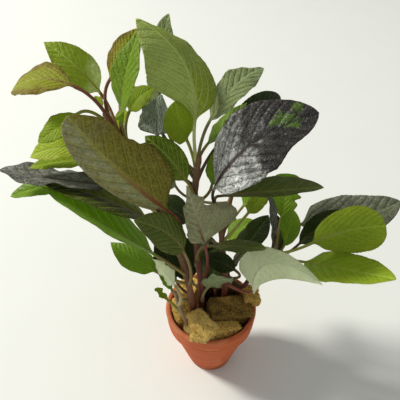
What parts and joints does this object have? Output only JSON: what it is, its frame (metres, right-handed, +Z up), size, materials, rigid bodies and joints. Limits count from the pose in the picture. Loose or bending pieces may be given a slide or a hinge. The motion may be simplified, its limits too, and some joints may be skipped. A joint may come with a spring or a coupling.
{
  "type": "potted aquarium plant",
  "caption": "Broad-leaved hygrophila with leaning stems, growing in torn rock wool in a small collared terracotta pot.",
  "frame": {"origin": "on the ground plane, on the pot's axis, under the middle of the whole plant's box", "axes": "+Z up, +X to the right and -Y towards the viewer of the plant's best side"},
  "size_m": [0.2344, 0.0897, 0.2363],
  "materials": {
    "terracotta_pot": "matt, unglazed, faint turning lines",
    "wool_plug": "matt, fibrous",
    "wool_front": "matt, fibrous, torn",
    "wool_front_right": "matt, fibrous, torn",
    "wool_right": "matt, fibrous, torn",
    "wool_rim": "matt, fibrous, torn",
    "wool_left": "matt, fibrous, torn",
    "wool_left_back": "matt, fibrous, torn",
    "wool_back": "matt, fibrous, torn",
    "wool_back_right": "matt, fibrous, torn",
    "stem_left": "satin, living stem",
    "stem_middle": "satin, living stem",
    "stem_right": "satin, living stem",
    "stem_far_right": "satin, living stem",
    "stem_front": "satin, living stem",
    "stem_back": "satin, living stem",
    "leaf_left_outer": "satin, living leaf",
    "leaf_left_upper": "satin, living leaf",
    "leaf_left_back": "satin, living leaf",
    "leaf_left_upright": "satin, living leaf",
    "leaf_left_inner": "satin, living leaf",
    "leaf_left_hanging": "satin, living leaf",
    "leaf_left_front": "satin, living leaf",
    "leaf_left_lower": "satin, living leaf",
    "leaf_top_large": "satin, living leaf",
    "leaf_top_right": "satin, living leaf",
    "leaf_top_right_back": "satin, living leaf",
    "leaf_top_narrow": "satin, living leaf",
    "leaf_top_back": "satin, living leaf",
    "leaf_mid_upright": "satin, living leaf",
    "leaf_mid_small": "satin, living leaf",
    "leaf_mid_crumpled": "satin, living leaf",
    "leaf_mid_ribbed": "satin, living leaf",
    "leaf_bronze_large": "satin, living leaf",
    "leaf_purple_large": "satin, living leaf",
    "leaf_withered_left": "satin, living leaf",
    "leaf_far_left": "satin, living leaf",
    "leaf_dark_long": "satin, living leaf",
    "leaf_right_long": "satin, living leaf",
    "leaf_right_triangular": "satin, living leaf",
    "leaf_right_small": "satin, living leaf",
    "leaf_right_grey": "satin, living leaf",
    "leaf_right_oval": "satin, living leaf",
    "leaf_right_upright": "satin, living leaf",
    "leaf_right_shaded": "satin, living leaf",
    "leaf_right_low": "satin, living leaf",
    "leaf_inner_dark": "satin, living leaf",
    "leaf_inner_level": "satin, living leaf",
    "leaf_inner_deep": "satin, living leaf",
    "leaf_silver_turned": "satin, living leaf",
    "leaf_wilted": "satin, living leaf",
    "leaf_front_oval": "satin, living leaf",
    "leaf_front_long": "satin, living leaf",
    "leaf_folded_pale": "satin, living leaf",
    "leaf_front_low": "satin, living leaf",
    "leaf_back_right_high": "satin, living leaf",
    "leaf_back_left_high": "satin, living leaf",
    "leaf_back_right_low": "satin, living leaf",
    "leaf_back_left_low": "satin, living leaf",
    "leaf_back_low": "satin, living leaf"
  },
  "bodies": {
    "root": {"terracotta_pot": "terracotta_pot", "wool_plug": "wool_plug", "wool_front": "wool_front", "wool_front_right": "wool_front_right", "wool_right": "wool_right", "wool_rim": "wool_rim", "wool_left": "wool_left", "wool_left_back": "wool_left_back", "wool_back": "wool_back", "wool_back_right": "wool_back_right", "stem_left": "stem_left", "stem_middle": "stem_middle", "stem_right": "stem_right", "stem_far_right": "stem_far_right", "stem_front": "stem_front", "stem_back": "stem_back", "leaf_left_outer": "leaf_left_outer", "leaf_left_upper": "leaf_left_upper", "leaf_left_back": "leaf_left_back", "leaf_left_upright": "leaf_left_upright", "leaf_left_inner": "leaf_left_inner", "leaf_left_hanging": "leaf_left_hanging", "leaf_left_front": "leaf_left_front", "leaf_left_lower": "leaf_left_lower", "leaf_top_large": "leaf_top_large", "leaf_top_right": "leaf_top_right", "leaf_top_right_back": "leaf_top_right_back", "leaf_top_narrow": "leaf_top_narrow", "leaf_top_back": "leaf_top_back", "leaf_mid_upright": "leaf_mid_upright", "leaf_mid_small": "leaf_mid_small", "leaf_mid_crumpled": "leaf_mid_crumpled", "leaf_mid_ribbed": "leaf_mid_ribbed", "leaf_bronze_large": "leaf_bronze_large", "leaf_purple_large": "leaf_purple_large", "leaf_withered_left": "leaf_withered_left", "leaf_far_left": "leaf_far_left", "leaf_dark_long": "leaf_dark_long", "leaf_right_long": "leaf_right_long", "leaf_right_triangular": "leaf_right_triangular", "leaf_right_small": "leaf_right_small", "leaf_right_grey": "leaf_right_grey", "leaf_right_oval": "leaf_right_oval", "leaf_right_upright": "leaf_right_upright", "leaf_right_shaded": "leaf_right_shaded", "leaf_right_low": "leaf_right_low", "leaf_inner_dark": "leaf_inner_dark", "leaf_inner_level": "leaf_inner_level", "leaf_inner_deep": "leaf_inner_deep", "leaf_silver_turned": "leaf_silver_turned", "leaf_wilted": "leaf_wilted", "leaf_front_oval": "leaf_front_oval", "leaf_front_long": "leaf_front_long", "leaf_folded_pale": "leaf_folded_pale", "leaf_front_low": "leaf_front_low", "leaf_back_right_high": "leaf_back_right_high", "leaf_back_left_high": "leaf_back_left_high", "leaf_back_right_low": "leaf_back_right_low", "leaf_back_left_low": "leaf_back_left_low", "leaf_back_low": "leaf_back_low"}
  },
  "joints": []
}
